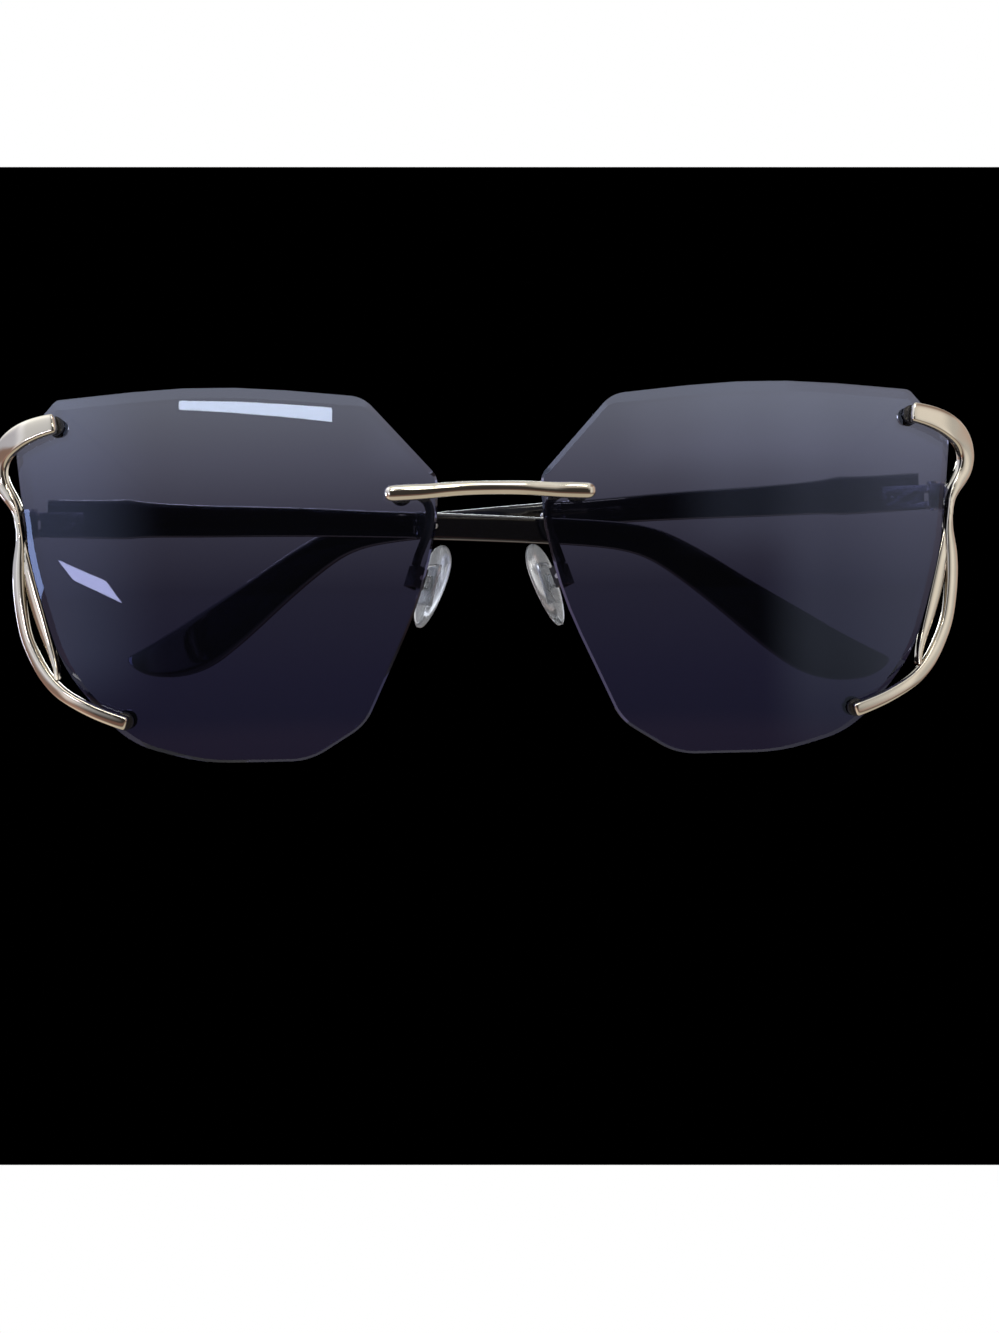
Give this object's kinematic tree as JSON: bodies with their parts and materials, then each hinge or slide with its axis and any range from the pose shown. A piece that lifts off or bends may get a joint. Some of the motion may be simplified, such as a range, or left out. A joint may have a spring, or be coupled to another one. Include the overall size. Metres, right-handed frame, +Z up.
{
  "type": "rimless sunglasses",
  "caption": "Rimless sunglasses with faceted gradient lenses, hooked metal endpieces, a slim bridge bar, rocking nose pads and slim temples folded behind the lenses.",
  "frame": {"origin": "on the table below the lenses, midway across the face and midway through the folded depth", "axes": "+Z up, -Y the way the lenses face, +X towards the wearer's left"},
  "size_m": [0.1482, 0.0473, 0.0556],
  "materials": {
    "smoke_lens": "polished grey to navy gradient tint",
    "pale_gold": "polished champagne gold plating",
    "gloss_black": "polished black",
    "black_bush": "satin black",
    "bright_steel": "turned and polished",
    "gunmetal": "black nickel plating",
    "clear_silicone": "clear frosted silicone"
  },
  "bodies": {
    "front": {"bridge_bar": "pale_gold", "endpiece_left": "pale_gold", "endpiece_right": "pale_gold", "hinge_front_leaf_left": "gunmetal", "hinge_front_leaf_right": "gunmetal", "hinge_screw_left": "gunmetal", "hinge_screw_right": "gunmetal", "lens_left": "smoke_lens", "lens_right": "smoke_lens", "mount_bush_left_bridge": "black_bush", "mount_bush_left_lower": "black_bush", "mount_bush_left_upper": "black_bush", "mount_bush_right_bridge": "black_bush", "mount_bush_right_lower": "black_bush", "mount_bush_right_upper": "black_bush", "mount_nut_left_bridge": "bright_steel", "mount_nut_left_lower": "bright_steel", "mount_nut_left_upper": "bright_steel", "mount_nut_right_bridge": "bright_steel", "mount_nut_right_lower": "bright_steel", "mount_nut_right_upper": "bright_steel", "mount_washer_left_bridge": "bright_steel", "mount_washer_left_lower": "bright_steel", "mount_washer_left_upper": "bright_steel", "mount_washer_right_bridge": "bright_steel", "mount_washer_right_lower": "bright_steel", "mount_washer_right_upper": "bright_steel", "pad_arm_left": "gunmetal", "pad_arm_right": "gunmetal", "pad_box_left": "gunmetal", "pad_box_right": "gunmetal", "pad_screw_left": "bright_steel", "pad_screw_right": "bright_steel"},
    "temple_left": {"hinge_temple_leaf_left": "gunmetal", "leaf_rivet_left_front": "bright_steel", "leaf_rivet_left_rear": "bright_steel", "temple_arm_left": "gloss_black", "temple_core_left": "bright_steel", "temple_sleeve_left": "gloss_black", "sleeve_rivet_left": "bright_steel"},
    "temple_right": {"hinge_temple_leaf_right": "gunmetal", "leaf_rivet_right_front": "bright_steel", "leaf_rivet_right_rear": "bright_steel", "temple_arm_right": "gloss_black", "temple_core_right": "bright_steel", "temple_sleeve_right": "gloss_black", "sleeve_rivet_right": "bright_steel"},
    "pad_left_body": {"nose_pad_left": "clear_silicone", "pad_insert_left": "clear_silicone"},
    "pad_right_body": {"nose_pad_right": "clear_silicone", "pad_insert_right": "clear_silicone"}
  },
  "joints": [
    {"name": "temple_left_hinge", "type": "hinge", "parent": "front", "child": "temple_left", "pos_m": [0.0685, -0.0084, 0.0383], "axis": [0, 0, -1], "range_deg": [0, 81]},
    {"name": "temple_right_hinge", "type": "hinge", "parent": "front", "child": "temple_right", "pos_m": [-0.0685, -0.0084, 0.0361], "axis": [0, 0, 1], "range_deg": [0, 90]},
    {"name": "nose_pad_left_rock", "type": "hinge", "parent": "front", "child": "pad_left_body", "pos_m": [0.0109, -0.0132, 0.027], "axis": [0.5446, 0.8387, 0], "range_deg": [-8, 8]},
    {"name": "nose_pad_right_rock", "type": "hinge", "parent": "front", "child": "pad_right_body", "pos_m": [-0.0109, -0.0132, 0.027], "axis": [-0.5446, 0.8387, 0], "range_deg": [-8, 8]}
  ],
  "couplings": [
    {"joint": "temple_right_hinge", "follows": "temple_left_hinge", "ratio": 1.09}
  ]
}
